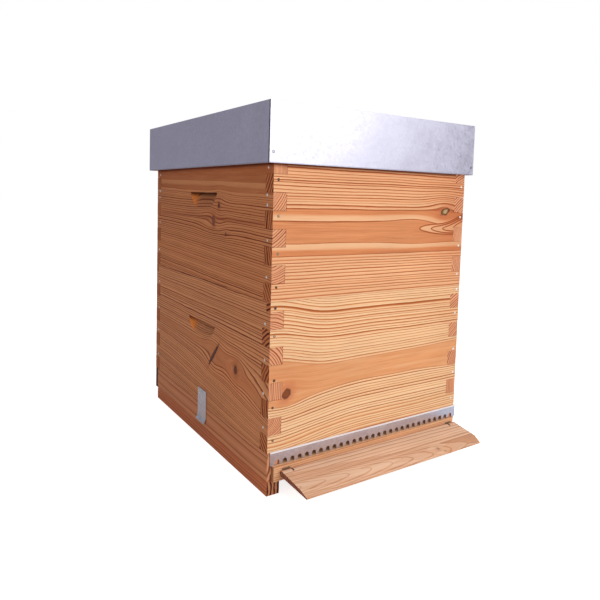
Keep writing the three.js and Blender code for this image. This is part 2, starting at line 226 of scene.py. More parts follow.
# ------------------------------------------------------------------------ wood
def wood(name, grain=0, across=2, pith=(0.0, -60.0), face=0.0, pitch=5.2, edges=(0.0, 0.0), slope=0.0,
         bends=(), sags=(), knots=(), bumps=(), widen=(), flames=(), light=(0.80, 0.50, 0.29), mid=(0.68, 0.33, 0.15),
         dark=(0.42, 0.17, 0.07), seed=0.0, contrast=1.0, wob=1.0, end_light=None, end_dark=None, rough=0.62,
         tone=1.0, line=2.5, stains_and_shade=(), spec=0.13, vary=1.5, streak=0.34, band_tone=0.36, band_figure=0.26, cathedral=(), end_pitch=0.0, end_pith=None,
         painted_handhold_light=None, edge_line=0.5):
    """Growth rings round a pith line that runs along the grain, bent round the knots.
    grain, across: axis numbers of the board's length and of its width; the third axis is its thickness.
    edges: where the first two, wide rings end on the board's face; after them the rings are pitch apart."""
    T = Tree(name)
    p, n, _ = T.object_mm()
    third = 3 - grain - across
    l, u, v = p[grain], p[across], p[third]
    # slow and quick wander of the grain
    a = T.noise(T.vec(l * 0.0022 + seed, u * 0.012, v * 0.02), 1.0, 2.0)
    b = T.noise(T.vec(l * 0.011 + seed * 1.7, u * 0.06, v * 0.05 + 4.0), 1.0, 3.0, 0.6)
    u1 = u + (a - 0.5) * (12.0 * wob) + (b - 0.5) * (3.2 * wob) - l * slope
    for (lk, amp, width) in bends:
        d = (l - lk) / width
        u1 = u1 - ((d * d) * -1.0).exp() * amp
    for (us, wu, amp, l0, l1, power) in sags:
        d = (u - us) / wu
        m = T.math("MAXIMUM", (l - l0) / (l1 - l0), 0.0)
        u1 = u1 + ((d * d) * -1.0).exp() * (m ** power) * amp
    for k in knots:
        dl = (l - k["at"][0]) / k["swirl"][0]
        du_ = (u - k["at"][1]) / k["swirl"][1]
        g = ((dl * dl + du_ * du_) * -1.0).exp() * k.get("pull", 0.8)
        u1 = u1 - (u - k["at"][1]) * g
    D = abs(face - pith[1])
    du = u1 - pith[0]
    dv = v - pith[1]
    q = du * du + dv * dv - D * D
    for (lb, ub, wl, wu, amp) in bumps:
        dl = (l - lb) / wl
        du_ = (u - ub) / wu
        q = q + ((dl * dl + du_ * du_) * -1.0).exp() * amp
    for (l0, l1, uc, wu, amp) in flames:
        du_ = (u1 - uc) / wu
        q = q + T.smooth(l, l0, l1) * ((du_ * du_) * -1.0).exp() * amp
    s_ = q.abs().sqrt()
    for (lb, wl, amp) in widen:
        d = (l - lb) / wl
        s_ = s_ - T.math("MINIMUM", s_, ((d * d) * -1.0).exp() * amp)
    e1, e2 = edges
    if e2 <= e1:
        e2 = e1
    rn = T.math("MAXIMUM", s_ - e2, 0.0) / pitch
    rn = rn + (T.noise1(rn * 0.31 + seed, 1.0, 2.0) - 0.5) * T.math("MINIMUM", rn, 1.0) * vary
    rn = T.math("MAXIMUM", rn, 0.0)
    if e1 > 0.5:
        m0 = T.math("LESS_THAN", s_, e1)
        r0 = T.math("MINIMUM", s_ / e1, 0.9999)
    else:
        m0, r0 = 0.0, 0.0
    if e2 - e1 > 0.5:
        m1 = T.math("LESS_THAN", s_, e2) - m0
        r1 = T.math("MULTIPLY", s_ - e1, 1.0 / (e2 - e1), clamp=False)
        r1 = T.math("MINIMUM", T.math("MAXIMUM", r1, 0.0), 0.9999)
    else:
        m1, r1 = 0.0, 0.0
    f_n = rn.fract()
    if isinstance(m0, S) and isinstance(m1, S):
        far = 1.0 - m0 - m1
        f = m0 * r0 + m1 * r1 + far * f_n
        width = m0 * (e1 - pitch) + m1 * (e2 - e1 - pitch) + pitch
        oran = m0 + m1 * T.smooth(f, 0.36, 0.62)
    elif isinstance(m0, S):
        far = 1.0 - m0
        f = m0 * r0 + far * f_n
        width = m0 * (e1 - pitch) + pitch
        oran = m0 * 1.0
    else:
        f, width, oran = f_n, None, None
    dist = (1.0 - f) * (width if width is not None else pitch)
    k = rn.floor() + T.math("SIGN", du) * 57.0
    w = T.white(k + seed)
    w2 = T.white(k * 1.7 + (seed + 11.3))
    # pale earlywood deepens into a dark latewood line, then stops short
    thick = w2 * (line * 0.5) + line * 0.62
    lt = T.math("SUBTRACT", 1.0, T.math("MINIMUM", dist / thick, 1.0))
    lt = T.smooth(lt, 0.06, 0.72) * T.smooth(dist, 0.0, 0.28)
    lt = lt * (w * 0.6 + 0.4)
    if isinstance(m0, S):
        lt = lt * (1.0 - (m0 + m1) * (1.0 - edge_line))
    grow = T.smooth(f, 0.05, 0.75)
    second = T.smooth((rn * 2.0 + 0.37).fract(), 0.66, 0.92) * 0.10
    fib = T.noise(T.vec(l * 0.016, u1 * 0.9, v * 0.9), 1.0, 4.0, 0.62)
    fib2 = T.noise(T.vec(l * 0.05, u1 * 3.4, v * 3.4), 1.0, 2.0, 0.5)
    cloud = T.noise(T.vec(l * 0.006 + seed, u * 0.018, v * 0.02), 1.0, 3.0, 0.55)
    t = grow * 0.20 + second + (w2 - 0.5) * 0.12
    if oran is not None:
        inner = T.noise(T.vec(l * 0.004 + seed, u1 * 0.16, v * 0.05), 1.0, 3.0, 0.65)
        t = t * (1.0 - oran) + oran * (inner * band_figure + band_tone)
    for (tip, uc, c, rise, gap, way, weight) in cathedral:
        # nested pointed arches, where the saw ran out through the rings
        dl = (l - tip) * way
        du_ = u1 - uc - dl * rise
        F = dl - du_ * du_ / c
        slant = (du_ * du_ * (4.0 / (c * c)) + 1.0).sqrt()
        fr = (F / gap).fract() * gap / slant
        arch = T.smooth(fr, line * 0.4, line * 1.7, 1.0, 0.0)
        inside = T.smooth(F / slant, -0.3, 0.5) * weight
        t = t * (1.0 - inside) + inside * 0.04
        lt = lt * (1.0 - inside) + inside * arch
    t = t + lt * (0.62 * contrast) + (fib - 0.5) * streak * contrast
    colour = T.ramp(t, [(0.0, light), (0.45, mid), (0.95, dark)])
    shade = (cloud - 0.5) * 0.26 + (fib2 - 0.5) * 0.16 + tone
    # end grain drinks more light and shows the rings harder
    e = T.smooth(n[grain].abs(), 0.75, 0.95)
    el = end_light or tuple(c * 0.80 for c in mid)
    ed = end_dark or tuple(c * 0.62 for c in dark)
    if end_pitch:
        eu, ev = end_pith or pith
        R = ((u - eu) * (u - eu) + (v - ev) * (v - ev)).sqrt() + (T.noise(T.vec(seed, u * 0.08, v * 0.08), 1.0, 2.0) - 0.5) * 5.0
        er = R / end_pitch
        ef = er.fract()
        stripe = T.smooth(ef, 0.38, 0.60) * T.smooth(ef, 0.90, 1.0, 1.0, 0.0) * (T.white(er.floor() + seed) * 0.5 + 0.55)
        endc = T.ramp(stripe * 0.95 + (fib2 - 0.5) * 0.3, [(0.0, el), (0.9, ed)])
    else:
        endc = T.ramp(T.smooth(lt, 0.02, 0.42) * 0.9 + grow * 0.25 + (fib2 - 0.5) * 0.25 - 0.05, [(0.0, el), (0.9, ed)])
    colour = T.mix(e, colour, endc)
    # stains, and the painted shadow under the lid (SHADE), laid on the same way
    for (ls, us, wl, wu, amt, tint) in stains_and_shade:
        dl = (l - ls) / wl
        du_ = (u - us) / wu
        g = ((dl * dl + du_ * du_) * -1.0).exp() * (cloud * 0.8 + 0.6) * amt
        colour = T.mix(g, colour, T.mix(1.0, colour, tint, "MULTIPLY"))
    if painted_handhold_light:
        # the cutter's run-out: a painted highlight on the facet at the back that faces the light, painted shadow under
        # the ledge
        axis, way, painted_highlight, painted_ledge_shadow, ledge = painted_handhold_light
        inner = T.smooth((l - CY).abs(), 96.0, 110.0, 1.0, 0.0)
        lit_facet_mask = T.smooth(n[axis] * way, 0.08, 0.30) * inner
        colour = T.mix(lit_facet_mask, colour, T.mix(T.smooth(f_n, 0.5, 0.9) * 0.5, painted_highlight, tuple(c * 0.72 for c in painted_highlight)))
        cut = T.smooth(n[3 - grain - across].abs(), 0.955, 0.992, 1.0, 0.0) * inner
        ledge_shadow_mask = T.math("MAXIMUM", T.smooth(n[2] * -1.0, 0.15, 0.5) * inner, cut * T.smooth(u, ledge - 9.0, ledge - 1.0) * 0.8)
        colour = T.mix(ledge_shadow_mask, colour, painted_ledge_shadow)
    height = lt * 0.55 + fib * 0.35 + fib2 * 0.35
    for kn in knots:
        dl = (l - kn["at"][0]) / kn["r"][0]
        du_ = (u - kn["at"][1]) / kn["r"][1]
        if kn.get("lean"):
            dl = dl - du_ * kn["lean"]
        wobk = (T.noise(T.vec(l * 0.11, u * 0.14, seed), 1.0, 2.0) - 0.5) * 0.95
        d = (dl * dl + du_ * du_).sqrt() + wobk
        rings = ((d * 3.2).fract() - 0.5).abs() * 2.0
        core = T.mix(rings * 0.5, kn.get("core", (0.30, 0.115, 0.045)), kn.get("core2", (0.17, 0.06, 0.03)))
        inside = T.smooth(d, 0.86, 1.04, 1.0, 0.0)
        rim = T.smooth(d, kn.get("rim_in", 0.66), 0.92) * T.smooth(d, 1.0, 1.3, 1.0, 0.0)
        halo = T.smooth(d, 1.0, kn.get("halo", 3.2), 1.0, 0.0) * kn.get("halo_strength", 0.45)
        colour = T.mix(halo, colour, kn.get("halo_colour", tuple(c * 0.86 for c in mid)))
        colour = T.mix(inside, colour, core)
        colour = T.mix(rim * kn.get("rim", 0.85), colour, kn.get("rim_colour", (0.11, 0.035, 0.018)))
        height = height - rim * 1.6 * kn.get("rim", 0.85)
    hsv = T.node("ShaderNodeHueSaturation")
    T.plug(colour, hsv.inputs["Color"])
    T.plug(shade, hsv.inputs["Value"])
    rg = (fib - 0.5) * 0.22 - lt * 0.07 + (cloud - 0.5) * 0.12 + rough + e * 0.14
    nrm = T.bump(height, 0.00022, 0.55)
    return T.out(hsv.outputs["Color"], rg, nrm, Specular_IOR_Level=spec)


def plywood(name, light=(0.70, 0.47, 0.26), dark=(0.40, 0.22, 0.10), seed=0.0, plies=3, z0=0.0, t=5.0, grain=1):
    T = Tree(name)
    p, n, _ = T.object_mm()
    l, u = p[grain], p[1 - grain]
    warp = T.noise(T.vec(l * 0.004 + seed, u * 0.02, 0.0), 1.0, 3.0, 0.6)
    f = (u * 0.045 + warp * 5.0).fract()
    lines = T.smooth(f, 0.45, 0.95) * T.smooth(f, 0.95, 1.0, 1.0, 0.0)
    fib = T.noise(T.vec(l * 0.02, u * 1.1, seed), 1.0, 4.0, 0.6)
    face = T.ramp(lines * 0.55 + (fib - 0.5) * 0.7 + 0.15, [(0.0, light), (1.0, dark)])
    ply = (((p[2] - z0) * (plies / t)).floor() * 0.5).fract() * 2.0
    edge = T.mix(ply, tuple(c * 0.72 for c in light), tuple(c * 0.75 for c in dark))
    side = T.smooth(n[2].abs(), 0.4, 0.8, 1.0, 0.0)
    c = T.mix(side, face, edge)
    return T.out(c, (fib - 0.5) * 0.25 + 0.62, T.bump(fib + lines * 0.4, 0.0002, 0.5), Specular_IOR_Level=0.3)


# ----------------------------------------------------------------------- metal
def galvanised(name, tint=(0.70, 0.69, 0.74), dark=(0.52, 0.52, 0.57), rough=0.36, spangle=9.0, seed=0.0, wear=0.0, metal=1.0, wave=0.35, hem=None, seam=None, dots=()):
    T = Tree(name)
    p, n, vec = T.object_mm()
    v = T.vec(p[0] + seed, p[1], p[2])
    cell = T.voronoi(v, 1.0 / spangle, "F1", "Color")
    sep = T.node("ShaderNodeSeparateColor")
    T.plug(cell, sep.inputs[0])
    c0 = S(T, sep.outputs[0])
    c1 = S(T, sep.outputs[1])
    fine = T.noise(v, 0.5, 3.0, 0.6)
    mott = T.noise(v, 0.022, 4.0, 0.6)
    smear = T.noise(T.vec(p[0] * 0.03 + seed, p[1] * 0.03, p[2] * 0.3), 1.0, 3.0, 0.6)
    t = (c0 - 0.5) * 0.34 + (mott - 0.5) * 0.7 + (fine - 0.5) * 0.8 + (smear - 0.5) * 0.35 + 0.45
    colour = T.ramp(t, [(0.0, dark), (1.0, tint)])
    if wear:
        spots = T.smooth(T.noise(v, 0.16, 4.0, 0.7), 0.62, 0.72)
        colour = T.mix(spots * wear, colour, (0.35, 0.27, 0.22))
    if seam is not None:
        # painted shade in the folded corner seam, and painted shade along the edge of the folded lip below
        sx, sy, sz = seam
        seam_shade = T.smooth(n[0] * -1.0, 0.5, 0.8) * T.smooth(p[1], sy + 2.6, sy + 5.0, 1.0, 0.0)
        lip_shade = T.smooth(p[2], sz + 0.8, sz + 2.6, 1.0, 0.0)
        colour = T.mix(T.math("MAXIMUM", seam_shade * 0.85, lip_shade * 0.35), colour, (0.13, 0.12, 0.16))
    for (dx, dz) in dots:
        # a nail driven flush, painted on: a lighter crown in a dark ring of painted shade where its dimple would be
        d = ((p[0] - dx) * (p[0] - dx) + (p[2] - dz) * (p[2] - dz)).sqrt()
        face = T.smooth(n[1].abs(), 0.7, 0.95)
        colour = T.mix(T.smooth(d, 2.0, 3.0, 1.0, 0.0) * face * 0.8, colour, (0.13, 0.12, 0.15))
        colour = T.mix(T.smooth(d, 0.9, 1.4, 1.0, 0.0) * face * 0.8, colour, (0.62, 0.60, 0.60))
    # painted highlight along the rolled hem on the strip's top, and a thin painted shade line just below it
    if hem is not None:
        colour = T.mix(T.smooth(p[2], hem, hem + 0.5) * 0.85, colour, (0.98, 0.98, 1.0))
        colour = T.mix(T.smooth(p[2], hem - 1.0, hem - 0.1) * T.smooth(p[2], hem - 0.1, hem + 0.1, 1.0, 0.0) * 0.5, colour, (0.2, 0.2, 0.26))
        metal_s = 1.0 - T.smooth(p[2], hem, hem + 0.4) * 0.92
        T.plug(metal_s, T.bsdf.inputs["Metallic"])
    r = (c1 - 0.5) * 0.10 + (mott - 0.5) * 0.16 + (fine - 0.5) * 0.08 + rough
    big = T.noise(v, 0.006, 1.0)
    nrm = T.bump(big * 60.0 * wave + mott * 2.5 * wave + fine * 0.25 + c0 * 0.12, 0.0004, 0.35)
    if hem is not None:
        return T.out(colour, r, nrm)
    return T.out(colour, r, nrm, Metallic=metal)


def nail_metal(name):
    T = Tree(name)
    p, n, vec = T.object_mm()
    a = T.noise(vec, 0.9, 3.0, 0.6)
    side = T.smooth(T.math("MAXIMUM", n[0].abs(), n[1].abs()), 0.80, 0.97)
    each = T.white((p[2] * 0.045).floor() + (p[0] * 0.004).floor() * 5.3)
    # heads on the side faces and along the right corner get a painted glint; the others are painted dark brown, rust
    # with the painted shade of their holes
    lit = T.math("MAXIMUM", T.smooth(n[0].abs(), 0.4, 0.7), T.smooth(p[0], 0.0, 10.0))
    painted_highlight = T.ramp(each * 0.8 + (a - 0.5) * 0.5, [(0.0, (0.72, 0.64, 0.52)), (0.35, (0.96, 0.92, 0.84)), (0.9, (1.0, 0.97, 0.92))])
    rust_and_hole_shade = T.ramp(each * 0.9 + (a - 0.5) * 0.5, [(0.2, (0.10, 0.05, 0.03)), (0.6, (0.26, 0.15, 0.09)), (0.95, (0.52, 0.38, 0.25))])
    c = T.mix(side, (0.06, 0.035, 0.022), T.mix(lit, rust_and_hole_shade, painted_highlight))
    T.plug((1.0 - lit) * 0.2, T.bsdf.inputs["Metallic"])
    return T.out(c, a * 0.25 + 0.35 + (1.0 - lit) * 0.25, T.bump(a, 0.0002, 0.6))


def wax(name):
    """Beeswax foundation, embossed on both sides with hexagonal cells."""
    T = Tree(name)
    p, n, vec = T.object_mm()
    y, z = p[1], p[2]
    s = 5.3
    h = s * math.sqrt(3.0)

    def cell(oy, oz):
        a = ((y + oy) / s).fract() - 0.5
        b = ((z + oz) / h).fract() - 0.5
        ay = a.abs() * s
        bz = b.abs() * h
        return T.math("MAXIMUM", ay, ay * 0.5 + bz * (math.sqrt(3.0) / 2.0))
    d = T.math("MINIMUM", cell(0.0, 0.0), cell(s * 0.5, h * 0.5))
    wall = T.smooth(d, s * 0.36, s * 0.5)
    a = T.noise(vec, 0.03, 4.0, 0.6)
    bloom = T.noise(vec, 0.35, 3.0, 0.6)
    c = T.ramp(a * 0.8 + (bloom - 0.5) * 0.4 + wall * 0.2, [(0.15, (0.74, 0.40, 0.07)), (0.55, (0.90, 0.58, 0.14)), (0.95, (0.96, 0.76, 0.36))])
    c = T.mix(wall * 0.45, c, (0.93, 0.74, 0.38))
    return T.out(c, (bloom - 0.5) * 0.2 + 0.46, T.bump(wall + bloom * 0.1, 0.0012, 0.9),
                 Subsurface_Weight=0.12, Subsurface_Scale=0.004)


def foam(name):
    T = Tree(name)
    p, n, vec = T.object_mm()
    beads = T.voronoi(vec, 0.28, "F1")
    a = T.noise(vec, 0.02, 3.0)
    c = T.ramp(beads * 0.9 + (a - 0.5) * 0.3, [(0.0, (0.86, 0.85, 0.80)), (0.9, (0.70, 0.69, 0.64))])
    return T.out(c, a * 0.2 + 0.72, T.bump(beads, 0.0006, 0.7))


# ------------------------------------------------------------- refined CAD copies
def refine(node, material, bevel=0.55, segments=2, angle=24):
    """A copy of a CAD node with its flat faces joined up and its edges eased."""
    src = NODES[node]
    me = bpy.data.meshes.new(node + "_visual")
    bm = bmesh.new()
    bm.from_mesh(src.data)
    bmesh.ops.remove_doubles(bm, verts=bm.verts, dist=2e-6)
    bmesh.ops.dissolve_limit(bm, angle_limit=math.radians(0.6), verts=bm.verts, edges=bm.edges, use_dissolve_boundaries=False)
    edges = [e for e in bm.edges if len(e.link_faces) == 2 and e.calc_face_angle(0.0) > math.radians(angle)]
    if bevel:
        bmesh.ops.bevel(bm, geom=edges, offset=bevel * mm, offset_type="OFFSET", segments=segments, profile=0.6,
                        affect="EDGES", clamp_overlap=True, loop_slide=True)
    bmesh.ops.recalc_face_normals(bm, faces=bm.faces)
    bmesh.ops.triangulate(bm, faces=[f for f in bm.faces if len(f.verts) > 4], quad_method="BEAUTY", ngon_method="BEAUTY")
    bm.to_mesh(me)
    bm.free()
    me.materials.append(material)
    o = bpy.data.objects.new(node + "_visual", me)
    scene.collection.objects.link(o)
    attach(o, BODY_OF[node])
    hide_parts(node)
    return o


def dress(node, material):
    o = NODES[node]
    o.data.materials.clear()
    o.data.materials.append(material)


def piece(name, bm, material, body, smooth=False):
    me = bpy.data.meshes.new(name)
    bm.to_mesh(me)
    bm.free()
    if smooth:
        for f in me.polygons:
            f.use_smooth = True
    me.materials.append(material)
    o = bpy.data.objects.new(name, me)
    scene.collection.objects.link(o)
    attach(o, body)
    return o


def lathe(bm, at, axis, profile, n=14):
    """A turned form: profile is a list of (radius, height), closed on the axis, along axis from at."""
    axis = Vector(axis).normalized()
    side = axis.orthogonal().normalized()
    up = axis.cross(side)
    rows = []
    for r, h in profile:
        c = Vector(at) + axis * h
        if r < 1e-9:
            rows.append([bm.verts.new(c)])
        else:
            rows.append([bm.verts.new(c + (side * math.cos(2 * math.pi * i / n) + up * math.sin(2 * math.pi * i / n)) * r) for i in range(n)])
    for a, b in zip(rows, rows[1:]):
        for i in range(n):
            j = (i + 1) % n
            if len(a) == 1 and len(b) > 1:
                bm.faces.new((a[0], b[i], b[j]))
            elif len(b) == 1 and len(a) > 1:
                bm.faces.new((a[i], b[0], a[j]))
            elif len(a) > 1 and len(b) > 1:
                bm.faces.new((a[i], b[i], b[j], a[j]))


NAIL = [(0.0, -1.6), (0.9, -1.6), (1.0, -0.4), (2.35, -0.3), (2.5, -0.1), (2.35, 0.02), (1.75, 0.04), (1.6, 0.18), (0.8, 0.27), (0.0, 0.28)]


def nails(name, body, spots, head=1.0, proud=0.0):
    """One mesh of nail heads: each spot is a point on the surface and the surface's outward direction."""
    bm = bmesh.new()
    for at, axis in spots:
        s = head * rng.uniform(0.9, 1.08)
        tilt = Vector(axis) + Vector([rng.uniform(-0.05, 0.05) for _ in range(3)])
        a = Vector(at) + Vector(axis) * (proud * mm)
        lathe(bm, a, tilt, [(r * s * mm, h * s * mm) for r, h in NAIL])
    bmesh.ops.recalc_face_normals(bm, faces=bm.faces)
    return piece(name, bm, NAILS, body, smooth=True)


# =================================================================== materials
cx = 0.0
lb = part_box("lower_front_wall")
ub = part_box("upper_front_wall")
FY = lb[0].y * 1000            # front face of the boxes
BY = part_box("lower_back_wall")[1].y * 1000
LX = lb[0].x * 1000
RX = lb[1].x * 1000
CY = (FY + BY) / 2             # the boxes' middle along Y

FRONT_L, FRONT_M, FRONT_D = srgb(240, 189, 143), srgb(224, 149, 99), srgb(162, 80, 40)
# the left walls' wood: the front's colours darkened and reddened, painted shade on top of the lamps' own
SHADED_SIDE_L, SHADED_SIDE_M, SHADED_SIDE_D = srgb(224, 150, 98), srgb(188, 106, 60), srgb(124, 52, 24)

W = {}
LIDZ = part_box("lid_sheet")[0].z * 1000
# painted light in the handholds: the painted highlight colour for the far facet, then the painted shadow colour under
# the ledge
PAINTED_HANDHOLD_LIGHT = (1, -1.0, srgb(250, 146, 70), srgb(84, 34, 18))
# painted shadow of the lid's overhang: a dark band round the upper walls just below the lid's edge, laid on like a
# stain
SHADE = (0.0, LIDZ + 1.0, 5000.0, 4.6, 1.2, (0.26, 0.17, 0.14))
ENDL, ENDD = srgb(228, 164, 122), srgb(160, 82, 52)         # end grain of the side boards, seen on the front
# the front boards' end grain is darkened where it shows on the side: painted shade
FENDL, FENDD = srgb(212, 128, 78), srgb(92, 36, 16)         # end grain of the front boards, seen on the side
Y0 = CY
W["upper_front_wall"] = wood(
    "pine_upper_front", 0, 2, pith=(414.6, FY - 118.0), face=FY, pitch=5.0, edges=(18.2, 38.0), slope=-0.006, seed=3.1, wob=0.8, contrast=1.4, line=3.2, band_tone=0.29, band_figure=0.42, edge_line=0.7,
    knots=[dict(at=(162.5, 450.0), r=(9.4, 6.4), swirl=(44.0, 24.0), pull=0.9, rim=0.95, rim_in=0.26, core=(0.66, 0.46, 0.22),
                core2=(0.16, 0.07, 0.025), halo=3.0, halo_strength=0.7, halo_colour=srgb(198, 116, 74), rim_colour=(0.12, 0.045, 0.015), lean=0.35),],
    bumps=[(95.0, 414.0, 75.0, 40.0, -240.0)], end_pitch=6.6, end_pith=(414.6, FY - 118.0),
    cathedral=[(97.0, 420.0, 3.6, 0.07, 30.0, 1.0, 1.0)],
    # SHADE here is the painted shadow under the lid
    stains_and_shade=[SHADE, (205.0, 440.0, 75.0, 95.0, 0.9, (0.80, 0.62, 0.54)), (60.0, 500.0, 260.0, 22.0, 0.5, (0.93, 0.80, 0.72)),
            (-60.0, 381.0, 400.0, 6.0, 0.5, (0.92, 0.78, 0.68)), (0.0, 448.0, 400.0, 5.0, 0.5, (0.92, 0.78, 0.68))],
    light=FRONT_L, mid=FRONT_M, dark=FRONT_D, end_light=FENDL, end_dark=FENDD)
W["lower_front_wall"] = wood(
    "pine_lower_front", 0, 2, pith=(179.0, FY - 112.0), face=FY, pitch=4.9, edges=(20.5, 0.0), slope=-0.004, seed=8.4, wob=0.8, contrast=1.3, line=2.9, band_tone=0.18, band_figure=0.50, edge_line=0.3,
    end_pitch=6.8, end_pith=(150.0, FY - 60.0),
    knots=[dict(at=(-179.5, 160.7), r=(6.6, 7.2), swirl=(30.0, 18.0), pull=0.8, rim=0.85, core=srgb(150, 84, 50), core2=srgb(84, 40, 22),
                halo=3.6, halo_strength=0.75, halo_colour=srgb(206, 126, 84), rim_colour=(0.15, 0.05, 0.03), lean=0.25)],
    bumps=[(215.0, 177.0, 70.0, 40.0, -330.0)],
    widen=[(-205.0, 75.0, 15.5)],
    bends=[(-120.0, -3.5, 60.0)],
    stains_and_shade=[(-190.0, 180.0, 70.0, 45.0, 0.5, (0.90, 0.76, 0.70)), (20.0, 105.0, 420.0, 34.0, 0.85, (1.04, 1.15, 1.22)), (210.0, 250.0, 60.0, 60.0, 0.5, (0.88, 0.78, 0.72))],
    light=srgb(246, 208, 162), mid=srgb(228, 159, 107), dark=srgb(176, 94, 46), end_light=FENDL, end_dark=FENDD)
W["upper_left_wall"] = wood(
    "pine_upper_left", 1, 2, pith=(516.0, LX - 50.0), face=LX, pitch=4.2, edges=(20.0, 38.0), band_tone=0.13, band_figure=0.40, edge_line=0.1, line=2.1, slope=0.022, seed=14.2, wob=0.9, contrast=1.3, painted_handhold_light=PAINTED_HANDHOLD_LIGHT + (474.0,),
    knots=[dict(at=(-65.7 + Y0, 451.5), r=(3.6, 5.4), swirl=(28.0, 22.0), pull=0.7, rim=0.7, core=(0.16, 0.055, 0.03), core2=(0.08, 0.03, 0.018), halo=3.4, halo_strength=0.4),
           dict(at=(-44.0 + Y0, 423.0), r=(5.4, 8.5), swirl=(62.0, 20.0), pull=0.85, rim=0.45, core=(0.32, 0.11, 0.075), core2=(0.20, 0.07, 0.05), halo=3.0, halo_strength=0.5),
           dict(at=(-95.0 + Y0, 402.0), r=(2.6, 2.6), swirl=(14.0, 8.0), pull=0.7, rim=0.6, core=(0.20, 0.07, 0.04), halo=2.6, halo_strength=0.4)],
    sags=[(360.0, 50.0, 9.0, 200.0, -240.0, 1.4)],
    # SHADE here is the painted shadow under the lid
    stains_and_shade=[SHADE, (0.0, 428.0, 500.0, 3.6, 0.7, (0.66, 0.50, 0.46)), (-250.0 + Y0, 400.0, 60.0, 90.0, 0.3, (1.15, 1.15, 1.1)), (230.0 + Y0, 530.0, 80.0, 60.0, 0.5, (0.85, 0.8, 0.8))],
    light=SHADED_SIDE_L, mid=SHADED_SIDE_M, dark=SHADED_SIDE_D, end_light=ENDL, end_dark=ENDD)
W["lower_left_wall"] = wood(
    "pine_lower_left", 1, 2, pith=(193.0, LX - 26.0), face=LX, pitch=4.4, edges=(7.0, 0.0), edge_line=0.5, line=2.2, band_tone=0.10, band_figure=0.36, slope=0.0, seed=21.7, wob=1.1, contrast=1.45, painted_handhold_light=PAINTED_HANDHOLD_LIGHT + (227.0,),
    sags=[(128.0, 62.0, 58.0, 250.0 + Y0, -248.0 + Y0, 1.7)],
    knots=[dict(at=(-54.0 + Y0, 176.0), r=(4.2, 20.0), lean=-4.0, swirl=(42.0, 30.0), pull=0.7, rim=0.85, rim_in=0.5, core=srgb(120, 84, 76), core2=srgb(64, 34, 28), halo=2.2, halo_strength=0.5, rim_colour=(0.09, 0.03, 0.02)),
           dict(at=(-142.7 + Y0, 172.5), r=(5.2, 7.0), swirl=(30.0, 20.0), pull=0.8, rim=0.7, core=(0.24, 0.07, 0.035), core2=(0.12, 0.04, 0.025), halo=3.4, halo_strength=0.6)],
    stains_and_shade=[(-120.0 + Y0, 165.0, 70.0, 35.0, 0.5, (1.05, 0.88, 0.78)), (-200.0 + Y0, 190.0, 60.0, 60.0, 0.4, (1.12, 1.15, 1.15))],
    # light and mid here are likewise darkened for the shaded left side: painted shade
    light=srgb(232, 162, 110), mid=srgb(194, 113, 67), dark=SHADED_SIDE_D, end_light=ENDL, end_dark=ENDD)
W["upper_back_wall"] = wood("pine_upper_back", 0, 2, pith=(470.0, BY + 90.0), face=BY, pitch=5.2, edges=(16.0, 30.0), slope=0.012, seed=31.0,
                            knots=[dict(at=(-70.0, 402.0), r=(6.0, 6.5), swirl=(38.0, 22.0), pull=0.8, rim=0.6)],
                            light=FRONT_L, mid=FRONT_M, dark=FRONT_D, end_light=FENDL, end_dark=FENDD)
W["lower_back_wall"] = wood("pine_lower_back", 0, 2, pith=(150.0, BY + 80.0), face=BY, pitch=5.0, edges=(20.0, 0.0), slope=-0.02, seed=37.5,
                            knots=[dict(at=(120.0, 240.0), r=(5.0, 5.5), swirl=(30.0, 18.0), pull=0.8, rim=0.8)],
                            light=FRONT_L, mid=FRONT_M, dark=FRONT_D, end_light=FENDL, end_dark=FENDD)
W["upper_right_wall"] = wood("pine_upper_right", 1, 2, pith=(380.0, RX + 60.0), face=RX, pitch=5.1, edges=(17.0, 34.0), slope=-0.03, seed=43.0,
                             knots=[dict(at=(120.0, 500.0), r=(5.0, 5.5), swirl=(34.0, 18.0), pull=0.8, rim=0.7)],
                             light=FRONT_L, mid=FRONT_M, dark=FRONT_D, end_light=ENDL, end_dark=ENDD)
W["lower_right_wall"] = wood("pine_lower_right", 1, 2, pith=(130.0, RX + 84.0), face=RX, pitch=5.2, edges=(19.0, 36.0), slope=0.04, seed=49.6,
                             knots=[dict(at=(-90.0, 205.0), r=(6.0, 7.0), swirl=(40.0, 20.0), pull=0.8, rim=0.5)],
                             light=FRONT_L, mid=FRONT_M, dark=FRONT_D, end_light=ENDL, end_dark=ENDD)
STAND = dict(light=srgb(224, 152, 106), mid=srgb(194, 116, 72), dark=srgb(116, 54, 30))
RAILW = wood("rail_wood", 1, 2, pith=(46.0, -300.0), face=LX, pitch=9.0, seed=55.0, slope=0.012, contrast=0.85, line=3.5, streak=0.75, end_pitch=7.5, end_pith=(70.0, -300.0),
             end_light=srgb(226, 156, 112), end_dark=srgb(84, 34, 22), **STAND)
RAILW2 = wood("rail_wood_right", 1, 2, pith=(60.0, 330.0), face=RX, pitch=7.0, edges=(14.0, 0.0), seed=57.0, slope=0.01, contrast=0.8, streak=0.6, end_pitch=7.0, end_pith=(60.0, 300.0),
              end_light=srgb(220, 150, 106), end_dark=srgb(96, 42, 26), **STAND)
RUNW = wood("runner_wood", 1, 2, pith=(-20.0, -230.0), face=LX, pitch=5.0, seed=61.0, contrast=1.0, streak=0.6, end_pitch=6.5, end_pith=(10.0, -300.0),
            end_light=srgb(214, 146, 104), end_dark=srgb(84, 34, 22),
            light=srgb(216, 134, 88), mid=srgb(196, 106, 64), dark=srgb(128, 58, 32))
FLOORW = wood("floor_wood", 0, 1, pith=(-180.0, -20.0), face=48.8, pitch=5.4, edges=(12.0, 24.0), seed=67.0, light=srgb(240, 190, 145), mid=srgb(220, 156, 110), dark=srgb(160, 96, 60))
